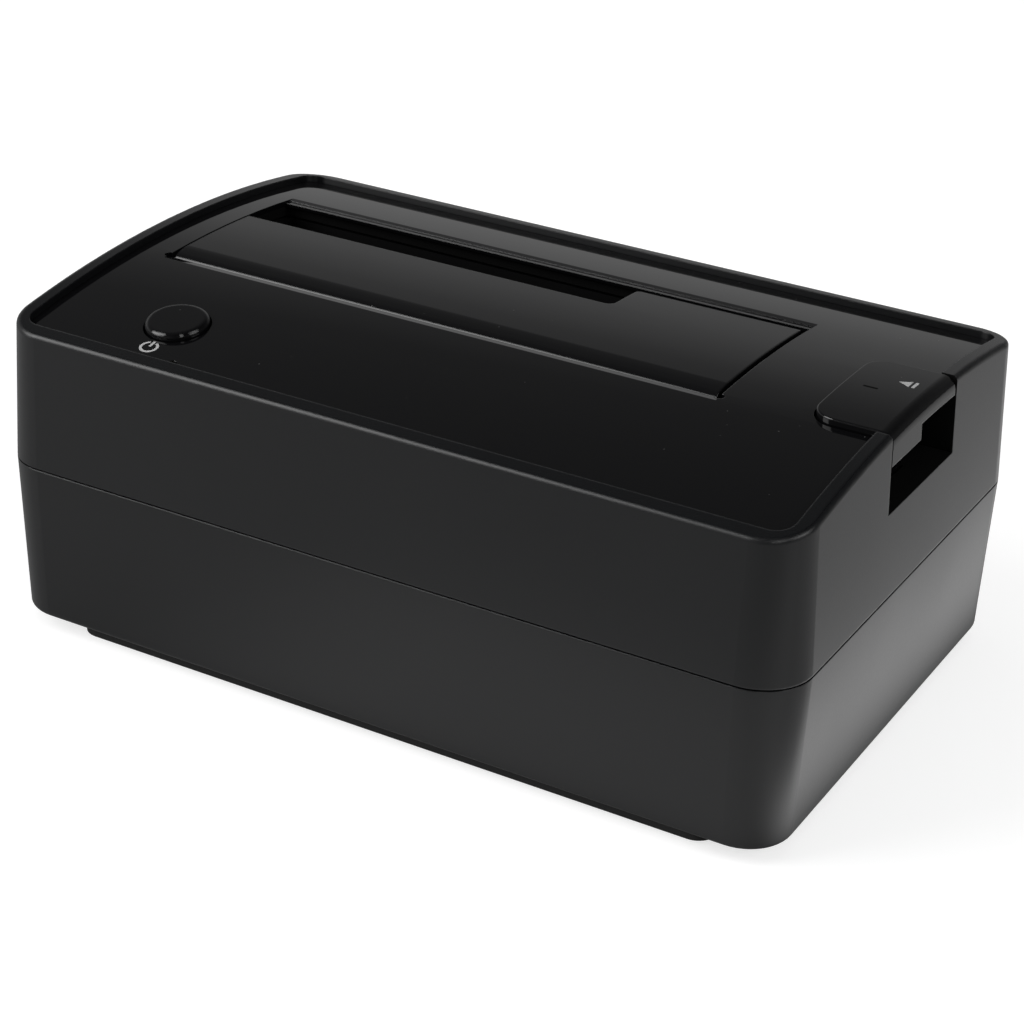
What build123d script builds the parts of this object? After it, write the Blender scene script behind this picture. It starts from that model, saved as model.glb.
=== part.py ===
from build123d import *
from math import asin, cos, degrees, radians, sin, sqrt, tan
import os

os.makedirs("parts", exist_ok=True)

# Hard drive docking station, in millimetres.
# The origin is under the middle of the casing, on the surface that the feet stand on.
# X runs along the slot to the right, Y to the back and Z up.

# Right angle and half turn
right_angle = 90.0
half_turn = right_angle * 2

# Drives that the slot is made for
drive_width = 101.6
drive_end_gap = 1.0
drive_thickness = 26.1
flap_room = 9.2
small_drive_width = 69.85
small_drive_end_gap = 3.05
small_drive_thickness = 9.5
small_drive_gap = 3.0

# Casing, as wide and deep as the slot and the margins round it
slot_left_margin = 10.05
slot_right_margin = 29.85
slot_front_margin = 35.4
slot_back_margin = 20.7
body_corner_radius = 8.6
part_line_height = 30.8
part_line_gap = 0.3
upper_height = 28.1
upper_lean = 2.66
lower_lean = 1.83
crown_radius = 227.4
crown_axis_y = 1.0
wall = 2.2
rim_width = 2.6
rim_round = 0.95
rim_step = 1.2
bottom_round = 1.0
lip_thickness = 1.0
lip_height = 1.4
lip_clearance = 0.1
floor_thickness = 1.55

# Top panel on its deck
panel_thickness = 1.0
panel_corner_radius = 3.2
panel_clearance = 0.1
deck_thickness = 1.8

# Edges of the slot
slot_back_slope_width = 1.1
slot_back_slope_drop = 0.17
slot_back_ledge_width = 1.35
slot_back_ledge_drop = 0.37
slot_back_overhang = 0.7
slot_front_slope_width = 1.5
slot_front_slope_drop = 0.35
slot_corner_relief_radius = 0.8

# Flap over the slot, with the cut for the smaller drive
flap_thickness = 1.8
flap_roll_radius = 2.3
flap_bend_radius = 12.0
flap_bend_angle = 15.0
flap_gap = 0.3
flap_right_gap = 0.9
flap_back_gap = 3.2
small_slot_corner_radius = 1.5
small_slot_shoulder_radius = 0.8

# Hinge pin and spring of the flap
hinge_pin_radius = 0.75
hinge_running_fit = 0.05
hinge_seat_fit = 0.02
hinge_boss_width = 2.8
hinge_boss_radius = 2.2
flap_spring_length = 5.4
flap_spring_wire = 0.5
flap_spring_leg_length = 9.0
flap_spring_gap = 0.2
flap_spring_setback = 6.0

# Liner of the drive bay
liner_wall = 1.6
liner_floor_height = 15.0
liner_floor_thickness = 1.5
liner_top_gap = 0.5
liner_ear_thickness = 2.0
liner_ear_radius = 3.4
liner_corner_radius = 1.0
liner_boss_notch_gap = 0.4

# Feet and base plate
foot_height = 2.65
foot_radius = 5.0
foot_drop = 0.65
foot_edge_bevel = 0.4
foot_inset_x = 23.75
foot_inset_y = 12.7
foot_clearance = 0.15
base_plate_left_inset = 13.35
base_plate_right_inset = 11.75
base_plate_front_inset = 2.7
base_plate_corner_radius = 3.5

# Fasteners
casing_boss_radius = 3.2
casing_boss_inset = 7.72
casing_screw_radius = 1.4
casing_screw_length = 33.0
casing_screw_head_radius = 2.6
casing_screw_head_height = 1.6
casing_screw_recess = 1.4
small_screw_radius = 1.0
small_screw_length = 5.0
small_screw_head_radius = 2.0
small_screw_head_height = 1.2
small_screw_drive_radius = 0.9
small_screw_drive_depth = 0.5
screw_clearance = 0.15
screw_thread_fit = 0.04

# Main board, its connectors and the ballast
board_thickness = 1.6
board_stand_height = 5.3
board_left_inset = 3.7
board_right_inset = 13.9
board_front_inset = 12.3
board_back_inset = 5.7
board_corner_radius = 2.0
board_hole_inset = 3.6
stand_radius = 2.8
chip_width = 9.0
chip_thickness = 1.4
chip_from_right = 26.0
chip_from_front = 7.0
connector_from_left = 28.7
connector_from_back = 4.5
connector_length = 45.0
connector_depth = 6.4
connector_height = 10.8
connector_slot_depth = 6.5
connector_slot_width = 1.6
connector_power_length = 20.6
connector_data_length = 10.4
connector_key_depth = 1.5
connector_slot_spacing = 2.6
connector_clearance = 0.5
port_from_right = 40.0
port_width = 12.0
port_height = 11.0
port_length = 15.0
port_mouth_width = 8.4
port_mouth_height = 7.7
port_mouth_depth = 9.0
port_mouth_chamfer = 1.6
port_tongue_width = 5.6
port_tongue_height = 3.2
port_tongue_setback = 0.9
jack_from_right = 16.0
jack_width = 9.4
jack_height = 11.0
jack_length = 14.4
jack_bore_radius = 3.2
jack_bore_depth = 9.5
jack_pin_radius = 1.05
jack_pin_setback = 0.8
port_setback = 0.35
port_clearance = 0.3
ballast_thickness = 2.0
ballast_side_inset = 11.8
ballast_front_inset = 9.7
ballast_slot_overlap = 8.3
ballast_corner_radius = 4.0
ballast_peg_radius = 2.0
ballast_peg_inset = 8.0
ballast_peg_clearance = 0.15

# Power button, its switch, spring, board and light
button_from_left = 26.65
button_from_front = 15.2
button_radius = 5.25
button_hole_gap = 0.3
button_proud = 1.2
button_round = 0.9
button_flange_radius = 6.45
button_flange_thickness = 1.1
button_flange_gap = 0.3
button_stem_radius = 2.5
button_stem_length = 4.3
button_travel = 0.9
switch_gap = 0.1
switch_width = 6.0
switch_height = 3.5
switch_plunger_radius = 1.7
switch_plunger_height = 0.3
button_spring_radius = 5.4
button_spring_thickness = 0.8
button_board_left_reach = 9.3
button_board_right_reach = 10.1
button_board_front_reach = 11.7
button_board_back_reach = 8.9
button_board_corner_radius = 1.5
button_boss_radius = 2.3
button_boss_inset = 2.6
light_from_button_x = 6.2
light_from_button_y = 10.0
light_radius = 0.7
light_body_radius = 1.3
light_recess = 0.05
light_body_height = 5.0
light_gap = 0.2
led_width = 1.6
led_height = 1.2

# Eject button, its guide, rocker and spring
tab_width = 13.8
opening_width = 26.0
opening_middle_offset = 1.0
opening_floor_depth = 13.4
tab_gap = 0.35
tab_corner_radius = 4.0
tab_thickness = 2.05
tab_outer_round = 2.2
tab_lip_depth = 0.9
tab_edge_round = 0.3
skirt_length = 11.4
skirt_depth = 5.6
skirt_thickness = 1.5
pocket_wall = 1.6
leg_setback = 6.9
leg_width = 5.0
leg_depth = 8.0
guide_clearance = 0.3
guide_wall = 1.4
guide_height = 8.0
eject_travel = 7.0
rocker_arm = 13.0
rocker_pin_height = 12.0
rocker_hub_radius = 2.8
rocker_tip_radius = 1.6
rocker_width = 6.0
rocker_inner_rise = 5.0
rocker_leg_offset = 0.1
rocker_leg_gap = 0.3
rocker_pin_radius = 1.25
rocker_post_thickness = 3.2
rocker_post_gap = 0.4
rocker_post_radius = 2.9
rocker_slot_clearance = 0.6
rocker_slot_height = 7.5
rocker_slot_past = 2.5
spring_lug_length = 8.0
spring_lug_thickness = 2.0
spring_lug_height = 30.0
eject_spring_radius = 3.1
eject_spring_thickness = 0.7
spring_spigot_radius = 2.2
spring_spigot_height = 3.0
spring_seat_height = 12.0
spring_spacing = 8.5

# One overrun serves all cuts
overrun = 1.0

# Heights and places that follow from the sizes above
slot_length = drive_width + drive_end_gap * 2
slot_width = drive_thickness + flap_room
small_slot_length = small_drive_width + small_drive_end_gap
small_slot_depth = small_drive_thickness + small_drive_gap
body_width = slot_left_margin + slot_length + slot_right_margin
body_depth = slot_front_margin + slot_width + slot_back_margin
slot_left_x = slot_left_margin - body_width / 2
slot_front_y = slot_front_margin - body_depth / 2
base_height = foot_height
floor_top = base_height + floor_thickness
crown_top = part_line_height + upper_height
panel_drop = rim_step
deck_drop = panel_drop + panel_thickness
ceiling_drop = deck_drop + deck_thickness
slot_right_x = slot_left_x + slot_length
slot_back_y = slot_front_y + slot_width
upper_slope = tan(radians(upper_lean))
lower_slope = tan(radians(lower_lean))
crown_inset = upper_height * upper_slope
recess_width = body_width - (crown_inset + rim_width) * 2
recess_depth = body_depth - (crown_inset + rim_width) * 2
foot_x = body_width / 2 - foot_inset_x
foot_y = body_depth / 2 - foot_inset_y
casing_boss_x = body_width / 2 - casing_boss_inset
casing_boss_y = body_depth / 2 - casing_boss_inset
casing_screw_seat = base_height + casing_screw_recess + casing_screw_head_height
board_left_x = slot_left_x + board_left_inset
board_right_x = slot_right_x - board_right_inset
board_front_y = slot_front_y + board_front_inset
board_back_y = body_depth / 2 - board_back_inset
chip_x = board_right_x - chip_from_right
chip_y = board_front_y + chip_from_front
connector_x = slot_left_x + connector_from_left
connector_y = slot_back_y - connector_from_back
port_x = board_right_x - port_from_right
jack_x = board_right_x - jack_from_right
ballast_left_x = slot_left_x + ballast_side_inset
ballast_right_x = slot_right_x - ballast_side_inset
ballast_front_y = ballast_front_inset - body_depth / 2
ballast_back_y = slot_front_y + ballast_slot_overlap
button_x = button_from_left - body_width / 2
button_y = button_from_front - body_depth / 2
light_x = button_x + light_from_button_x
light_y = button_y - light_from_button_y
button_board_left_x = button_x - button_board_left_reach
button_board_right_x = button_x + button_board_right_reach
button_board_front_y = button_y - button_board_front_reach
button_board_back_y = button_y + button_board_back_reach
board_bottom = floor_top + board_stand_height
board_top = board_bottom + board_thickness
opening_middle_y = crown_axis_y + opening_middle_offset
opening_front_y = opening_middle_y - opening_width / 2
opening_back_y = opening_middle_y + opening_width / 2
opening_floor_height = crown_top - opening_floor_depth
skirt_bottom_height = crown_top - skirt_depth
tab_outer_x = body_width / 2 - crown_inset
tab_inner_x = tab_outer_x - tab_width
leg_x = tab_outer_x - leg_setback
rocker_x = leg_x - rocker_leg_offset - rocker_arm


def crown_height(y, drop):
    """Height of the crowned surface that lies a given drop below the top of the casing."""
    radius = crown_radius - drop
    return crown_top - crown_radius + sqrt(radius**2 - (y - crown_axis_y) ** 2)


hinge_y = slot_front_y + flap_gap + flap_roll_radius
bend_sine = sin(radians(flap_bend_angle))
bend_reach = crown_radius - panel_drop - flap_bend_radius
bend_to_roll = flap_bend_radius - flap_roll_radius
bend_start = asin((crown_axis_y - hinge_y - bend_to_roll * bend_sine) / bend_reach)
bend_y = crown_axis_y - bend_reach * sin(bend_start)
bend_z = crown_top - crown_radius + bend_reach * cos(bend_start)
bend_back_y = bend_y - flap_bend_radius * sin(bend_start)
bend_front_y = bend_y - flap_bend_radius * bend_sine
hinge_z = bend_z + bend_to_roll * cos(radians(flap_bend_angle))
button_board_top = (
    crown_height(button_y - button_flange_radius, ceiling_drop)
    - button_flange_gap
    - button_flange_thickness
    - button_stem_length
    - button_travel
    - switch_gap
    - switch_plunger_height
    - switch_height
)
button_board_bottom = button_board_top - board_thickness
rocker_swing = degrees(asin(eject_travel / 2 / rocker_arm)) * 2
rocker_tip_height = rocker_pin_height + eject_travel / 2
leg_bottom = rocker_tip_height + rocker_tip_radius + rocker_leg_gap


def span_box(x_low, x_high, y_low, y_high, z_low, z_high):
    """Block between two corners."""
    block = Box(x_high - x_low, y_high - y_low, z_high - z_low)
    return Pos((x_low + x_high) / 2, (y_low + y_high) / 2, (z_low + z_high) / 2) * block


def post(x, y, z_low, z_high, radius):
    """Upright round post."""
    return Pos(x, y, (z_low + z_high) / 2) * Cylinder(radius, z_high - z_low)


def cross_rod_x(x_low, x_high, y, z, radius):
    """Round rod along X."""
    rod = Cylinder(radius, x_high - x_low, rotation=(0, right_angle, 0))
    return Pos((x_low + x_high) / 2, y, z) * rod


def cross_rod_y(x, y_low, y_high, z, radius):
    """Round rod along Y."""
    rod = Cylinder(radius, y_high - y_low, rotation=(right_angle, 0, 0))
    return Pos(x, (y_low + y_high) / 2, z) * rod


def rounded_slab(x_low, x_high, y_low, y_high, z_low, z_high, radius):
    """Flat slab with round corners in plan."""
    outline = RectangleRounded(x_high - x_low, y_high - y_low, radius)
    middle = Pos((x_low + x_high) / 2, (y_low + y_high) / 2, z_low)
    return middle * extrude(outline, amount=z_high - z_low)


def crown_block(drop, low):
    """Everything above a level and below the crowned surface of a given drop."""
    reach = body_depth / 2 + overrun
    edge_height = crown_height(reach, drop)
    front_height = crown_height(-reach, drop)
    top_arc = ThreePointArc(
        (-reach, front_height),
        (crown_axis_y, crown_height(crown_axis_y, drop)),
        (reach, edge_height),
    )
    sides = Polyline((reach, edge_height), (reach, low), (-reach, low), (-reach, front_height))
    profile = Plane.YZ * make_face(Curve() + [top_arc, sides])
    return extrude(profile, amount=body_width / 2 + overrun, both=True)


def crown_slab(top_drop, bottom_drop):
    """Layer between two crowned surfaces."""
    low = part_line_height
    return crown_block(top_drop, low) - crown_block(bottom_drop, low - overrun)


def upper_block(inset):
    """Leaning block of the upper casing, drawn in from its outside by an inset."""
    outline = RectangleRounded(
        body_width - inset * 2, body_depth - inset * 2, body_corner_radius - inset
    )
    block = extrude(outline, amount=upper_height + overrun, taper=upper_lean)
    return Pos(0, 0, part_line_height) * block


def lower_block(inset, bottom):
    """Leaning block of the lower casing, drawn in from its outside by an inset."""
    outline = RectangleRounded(
        body_width - inset * 2, body_depth - inset * 2, body_corner_radius - inset
    )
    top = Plane(origin=(0, 0, part_line_height), z_dir=(0, 0, -1))
    return extrude(top * outline, amount=part_line_height - bottom, taper=lower_lean)


def lip_ring(outer_inset, inner_inset, low, high):
    """Upright ring that follows the outline at the parting line."""
    ring = RectangleRounded(
        body_width - outer_inset * 2,
        body_depth - outer_inset * 2,
        body_corner_radius - outer_inset,
    )
    ring -= RectangleRounded(
        body_width - inner_inset * 2,
        body_depth - inner_inset * 2,
        body_corner_radius - inner_inset,
    )
    return Pos(0, 0, low) * extrude(ring, amount=high - low)


def tab_outline(gap):
    """Plan of the eject button, grown by a gap, with round inner corners."""
    front = opening_front_y + tab_gap - gap
    back = opening_back_y - tab_gap + gap
    inner = tab_inner_x - gap
    outer = body_width / 2 + overrun
    radius = tab_corner_radius + gap
    plan = Pos((inner + outer) / 2, (front + back) / 2) * Rectangle(outer - inner, back - front)
    corners = plan.vertices().sort_by(Axis.X)[:2]
    return fillet(corners, radius)


def screw(head_radius, head_height, radius, length, drive_radius, drive_depth):
    """Pan head screw, its head standing on the origin and its shank below."""
    head = Pos(0, 0, head_height / 2) * Cylinder(head_radius, head_height)
    head = chamfer(head.edges().group_by(Axis.Z)[-1], head_height / 3)
    shank = Pos(0, 0, -length / 2) * Cylinder(radius, length)
    drive = Pos(0, 0, head_height) * extrude(
        RegularPolygon(drive_radius, 6), amount=-drive_depth
    )
    return head + shank - drive


def small_screw():
    """Screw that holds the boards and the liner."""
    return screw(
        small_screw_head_radius,
        small_screw_head_height,
        small_screw_radius,
        small_screw_length,
        small_screw_drive_radius,
        small_screw_drive_depth,
    )


def casing_screw():
    """Long screw that closes the casing from below."""
    return screw(
        casing_screw_head_radius,
        casing_screw_head_height,
        casing_screw_radius,
        casing_screw_length,
        casing_screw_radius,
        casing_screw_head_height / 2,
    )


def mirrored_places(x, y):
    """The four places at plus and minus x and y."""
    return [(x, y), (-x, y), (x, -y), (-x, -y)]


casing_screw_places = mirrored_places(casing_boss_x, casing_boss_y)
board_screw_places = [
    (board_left_x + board_hole_inset, board_front_y + board_hole_inset),
    (board_right_x - board_hole_inset, board_front_y + board_hole_inset),
    (board_right_x - board_hole_inset, board_back_y - board_hole_inset),
]
ear_reach = liner_wall + liner_ear_radius
liner_screw_places = [
    (slot_left_x + ear_reach * 2, slot_front_y - ear_reach),
    (slot_right_x - ear_reach * 2, slot_front_y - ear_reach),
    (slot_right_x - ear_reach, slot_back_y + ear_reach),
    (slot_left_x, slot_back_y + ear_reach),
]
button_screw_places = [
    (button_board_left_x + button_boss_inset, button_board_back_y - button_boss_inset),
    (button_board_right_x - button_boss_inset, button_board_back_y - button_boss_inset),
    (button_board_left_x + button_boss_inset, button_board_front_y + button_boss_inset),
]
pocket_inner_x = tab_inner_x - tab_gap
leg_y = opening_middle_y
leg_half_width = leg_width / 2
leg_half_depth = leg_depth / 2
spring_y = leg_y + spring_spacing


def eject_pocket():
    """Walled pocket under the eject button, with the guide of its leg."""
    low = opening_floor_height - pocket_wall
    pocket = span_box(
        pocket_inner_x - pocket_wall,
        body_width / 2,
        opening_front_y - pocket_wall,
        opening_back_y + pocket_wall,
        low,
        crown_top,
    )
    grow = guide_clearance + guide_wall
    guide = span_box(
        leg_x - leg_half_width - grow,
        leg_x + leg_half_width + grow,
        leg_y - leg_half_depth - grow,
        leg_y + leg_half_depth + grow,
        low - guide_height,
        low + pocket_wall / 2,
    )
    inside = upper_block(wall / 2) & crown_block(ceiling_drop - deck_thickness / 2, floor_top)
    return (pocket & inside) + guide


def pocket_opening():
    """Everything that is open above the pocket's floor, and the way through its guide."""
    side = span_box(
        pocket_inner_x,
        body_width,
        opening_front_y,
        opening_back_y,
        opening_floor_height,
        crown_height(opening_back_y, ceiling_drop),
    )
    top = Pos(0, 0, opening_floor_height) * extrude(tab_outline(tab_gap), amount=upper_height)
    way = span_box(
        leg_x - leg_half_width - guide_clearance,
        leg_x + leg_half_width + guide_clearance,
        leg_y - leg_half_depth - guide_clearance,
        leg_y + leg_half_depth + guide_clearance,
        floor_top,
        crown_top,
    )
    return side + top + way


def hinge_boss(x_low, x_high):
    """Boss under the deck that carries one end of the flap's pin."""
    low_half = cross_rod_x(x_low, x_high, hinge_y, hinge_z, hinge_boss_radius)
    deck_level = crown_height(hinge_y, deck_drop + deck_thickness / 2)
    neck = span_box(
        x_low,
        x_high,
        hinge_y - hinge_boss_radius,
        hinge_y + hinge_boss_radius,
        hinge_z,
        deck_level,
    )
    return (low_half + neck) & crown_block(deck_drop + deck_thickness / 2, floor_top)


def slot_cut(low, high):
    """Rectangular way for the drives."""
    return span_box(slot_left_x, slot_right_x, slot_front_y, slot_back_y, low, high)


def upper_casing():
    """Upper half of the casing: leaning walls, rim, deck, bosses and the eject pocket."""
    skirt_low = part_line_height + part_line_gap / 2
    shell = upper_block(0) & crown_block(0, skirt_low)
    rim = shell.faces().filter_by(GeomType.CYLINDER).sort_by(Axis.Z)[-1]
    shell = fillet(rim.edges(), rim_round)
    recess = extrude(
        RectangleRounded(recess_width, recess_depth, panel_corner_radius), amount=crown_top
    )
    shell -= (Pos(0, 0, part_line_height) * recess) - crown_block(deck_drop, floor_top)
    shell -= upper_block(wall) & crown_block(ceiling_drop, floor_top)
    shell -= lip_ring(
        lip_thickness + lip_clearance,
        wall + overrun,
        part_line_height - overrun,
        part_line_height + lip_height + lip_clearance * 2,
    )
    below_deck = crown_block(ceiling_drop - deck_thickness / 2, floor_top)
    boss_low = part_line_height - part_line_gap
    for x, y in casing_screw_places:
        shell += post(x, y, boss_low, crown_top, casing_boss_radius) & below_deck
        shell -= post(
            x,
            y,
            boss_low - overrun,
            casing_screw_seat + casing_screw_length + overrun,
            casing_screw_radius + screw_thread_fit,
        )
    for x, y in button_screw_places:
        shell += post(x, y, button_board_top, crown_top, button_boss_radius) & below_deck
        shell -= post(
            x,
            y,
            button_board_top - overrun,
            button_board_top + small_screw_length,
            small_screw_radius + screw_thread_fit,
        )
    shell += eject_pocket()
    shell += hinge_boss(slot_left_x - hinge_boss_width, slot_left_x)
    shell += hinge_boss(slot_right_x, slot_right_x + hinge_boss_width)
    shell -= pocket_opening()
    shell -= slot_cut(part_line_height, crown_top)
    shell -= cross_rod_x(
        slot_left_x - hinge_boss_width - overrun,
        slot_right_x + hinge_boss_width + overrun,
        hinge_y,
        hinge_z,
        hinge_pin_radius + hinge_seat_fit,
    )
    shell -= post(button_x, button_y, part_line_height, crown_top, button_radius + button_hole_gap)
    shell -= post(light_x, light_y, part_line_height, crown_top, light_radius + light_gap)
    return shell


def slot_edge_cut(profile):
    """Cut of a given profile, seen from the side, along one long edge of the slot."""
    face = Plane.YZ * make_face(Polyline(*profile, close=True))
    cut = extrude(face, amount=slot_length / 2, both=True)
    return Pos((slot_left_x + slot_right_x) / 2, 0, 0) * cut


def top_panel():
    """Gloss panel let into the rim, crowned like it, with its slot and holes."""
    outline = RectangleRounded(
        recess_width - panel_clearance * 2,
        recess_depth - panel_clearance * 2,
        panel_corner_radius,
    )
    block = Pos(0, 0, part_line_height) * extrude(outline, amount=upper_height)
    panel = block & crown_slab(panel_drop, deck_drop)
    lip_y = slot_back_y - slot_back_overhang
    panel -= span_box(
        slot_left_x, slot_right_x, slot_front_y, lip_y, part_line_height, crown_top
    )
    ledge_y = lip_y + slot_back_ledge_width
    slope_y = ledge_y + slot_back_slope_width
    ledge_drop = panel_drop + slot_back_ledge_drop
    panel -= slot_edge_cut([
        (lip_y - overrun, crown_height(lip_y - overrun, ledge_drop)),
        (ledge_y, crown_height(ledge_y, ledge_drop)),
        (ledge_y, crown_height(ledge_y, panel_drop + slot_back_slope_drop)),
        (slope_y, crown_height(slope_y, panel_drop)),
        (lip_y - overrun, crown_top),
    ])
    front_y = slot_front_y - slot_front_slope_width
    front_low = crown_height(slot_front_y, panel_drop + slot_front_slope_drop)
    panel -= slot_edge_cut([
        (slot_front_y + overrun, front_low),
        (slot_front_y, front_low),
        (front_y, crown_height(front_y, panel_drop)),
        (slot_front_y + overrun, crown_top),
    ])
    panel -= post(
        slot_left_x, slot_front_y, part_line_height, crown_top, slot_corner_relief_radius
    )
    panel -= post(
        slot_right_x, slot_front_y, part_line_height, crown_top, slot_corner_relief_radius
    )
    panel -= Pos(0, 0, part_line_height) * extrude(tab_outline(tab_gap), amount=upper_height)
    panel -= post(button_x, button_y, part_line_height, crown_top, button_radius + button_hole_gap)
    panel -= post(light_x, light_y, part_line_height, crown_top, light_radius + light_gap)
    return panel


def lower_casing():
    """Lower half of the casing: tub with its lip, bosses, stands, posts and port ways."""
    tub = lower_block(0, base_height)
    tub = fillet(tub.edges().group_by(Axis.Z)[0], bottom_round)
    tub -= lower_block(wall, floor_top)
    tub -= span_box(
        -body_width,
        body_width,
        -body_depth,
        body_depth,
        part_line_height - part_line_gap / 2,
        part_line_height + overrun,
    )
    tub += lip_ring(
        wall - lip_thickness, wall, part_line_height - wall, part_line_height + lip_height
    )
    for x, y in casing_screw_places:
        tub += post(x, y, floor_top - floor_thickness / 2, part_line_height - part_line_gap,
                    casing_boss_radius)
        tub -= post(x, y, base_height - overrun, casing_screw_seat,
                    casing_screw_head_radius + screw_clearance)
        tub -= post(x, y, base_height, part_line_height, casing_screw_radius + screw_clearance)
    for x, y in board_screw_places:
        tub += post(x, y, floor_top - floor_thickness / 2, board_bottom, stand_radius)
        tub -= post(x, y, board_top - small_screw_length - overrun, board_bottom + overrun,
                    small_screw_radius + screw_thread_fit)
    for x, y in liner_screw_places:
        tub += post(x, y, floor_top - floor_thickness / 2, liner_floor_height, stand_radius)
        tub -= post(
            x,
            y,
            liner_floor_height + liner_ear_thickness - small_screw_length - overrun,
            liner_floor_height + overrun,
            small_screw_radius + screw_thread_fit,
        )
    for x, y in ballast_peg_places:
        tub += post(x, y, floor_top - floor_thickness / 2, floor_top + ballast_thickness,
                    ballast_peg_radius)
    tub += rocker_posts()
    tub += post(leg_x, spring_y, floor_top - floor_thickness / 2, spring_seat_height,
                eject_spring_radius)
    tub += post(leg_x, spring_y, floor_top, spring_seat_height + spring_spigot_height,
                spring_spigot_radius)
    back = body_depth / 2
    tub -= span_box(
        port_x - port_width / 2 - port_clearance,
        port_x + port_width / 2 + port_clearance,
        back - wall * 3,
        back + overrun,
        board_top - port_clearance,
        board_top + port_height + port_clearance,
    )
    tub -= span_box(
        jack_x - jack_width / 2 - port_clearance,
        jack_x + jack_width / 2 + port_clearance,
        back - wall * 3,
        back + overrun,
        board_top - port_clearance,
        board_top + jack_height + port_clearance,
    )
    return tub


ballast_peg_places = [
    (ballast_left_x + ballast_peg_inset, (ballast_front_y + ballast_back_y) / 2),
    (ballast_right_x - ballast_peg_inset, (ballast_front_y + ballast_back_y) / 2),
]


def rocker_post(y_low, y_high):
    """Upright cheek with a round head that carries one end of the rocker's pin."""
    head = cross_rod_y(rocker_x, y_low, y_high, rocker_pin_height, rocker_post_radius)
    cheek = span_box(
        rocker_x - rocker_post_radius,
        rocker_x + rocker_post_radius,
        y_low,
        y_high,
        floor_top - floor_thickness / 2,
        rocker_pin_height,
    )
    bore = cross_rod_y(
        rocker_x,
        y_low - overrun,
        y_high + overrun,
        rocker_pin_height,
        rocker_pin_radius + hinge_seat_fit,
    )
    return head + cheek - bore


def rocker_posts():
    """Pair of cheeks on either side of the rocker."""
    near = rocker_width / 2 + rocker_post_gap
    far = near + rocker_post_thickness
    return rocker_post(leg_y - far, leg_y - near) + rocker_post(leg_y + near, leg_y + far)


def bay_liner():
    """Open well that guides the drive, standing on four ears."""
    floor_top_height = liner_floor_height + liner_floor_thickness
    well = rounded_slab(
        slot_left_x - liner_wall,
        slot_right_x + liner_wall,
        slot_front_y - liner_wall,
        slot_back_y + liner_wall,
        liner_floor_height,
        crown_top,
        liner_corner_radius + liner_wall,
    )
    well &= crown_block(ceiling_drop + liner_top_gap, floor_top)
    well -= rounded_slab(
        slot_left_x,
        slot_right_x,
        slot_front_y,
        slot_back_y,
        floor_top_height,
        crown_top,
        liner_corner_radius,
    )
    for x, y in liner_screw_places:
        inner_y = min(max(y, slot_front_y - liner_wall / 2), slot_back_y + liner_wall / 2)
        top = liner_floor_height + liner_ear_thickness
        ear = span_box(
            x - liner_ear_radius,
            x + liner_ear_radius,
            min(y, inner_y),
            max(y, inner_y),
            liner_floor_height,
            top,
        )
        ear += post(x, y, liner_floor_height, top, liner_ear_radius)
        well += ear - slot_cut(floor_top_height, crown_top)
        well -= post(x, y, floor_top, top + overrun, small_screw_radius + screw_clearance)
    well -= span_box(
        connector_x - connector_length / 2 - connector_clearance,
        connector_x + connector_length / 2 + connector_clearance,
        connector_y - connector_depth / 2 - connector_clearance,
        connector_y + connector_depth / 2 + connector_clearance,
        floor_top,
        floor_top_height + overrun,
    )
    well -= span_box(
        rocker_x - rocker_arm - rocker_tip_radius - rocker_slot_clearance - rocker_slot_past,
        slot_right_x + liner_wall + overrun,
        leg_y - rocker_width / 2 - rocker_slot_clearance,
        leg_y + rocker_width / 2 + rocker_slot_clearance,
        floor_top,
        liner_floor_height + rocker_slot_height,
    )
    notch = hinge_boss_radius + liner_boss_notch_gap
    for x_low in (slot_left_x - liner_wall - overrun, slot_right_x):
        well -= span_box(
            x_low,
            x_low + liner_wall + overrun,
            hinge_y - notch,
            hinge_y + notch,
            hinge_z - notch,
            crown_top,
        )
    return well


flap_left_x = slot_left_x + flap_gap
flap_right_x = slot_right_x - flap_right_gap
flap_back_y = slot_back_y - flap_back_gap


def flap_plan():
    """Plan of the flap behind its roll, with the cut for the smaller drive."""
    cut_y = slot_back_y - small_slot_depth
    cut_x = slot_left_x + small_slot_length
    plan = Polyline(
        (flap_left_x, bend_front_y),
        (flap_left_x, cut_y),
        (cut_x, cut_y),
        (cut_x, flap_back_y),
        (flap_right_x, flap_back_y),
        (flap_right_x, bend_front_y),
        close=True,
    )
    plan_face = make_face(plan)
    corner = plan_face.vertices().sort_by_distance((cut_x, cut_y, 0))[0]
    plan_face = fillet(corner, small_slot_corner_radius)
    shoulder = plan_face.vertices().sort_by_distance((cut_x, flap_back_y, 0))[0]
    return fillet(shoulder, small_slot_shoulder_radius)


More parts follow.
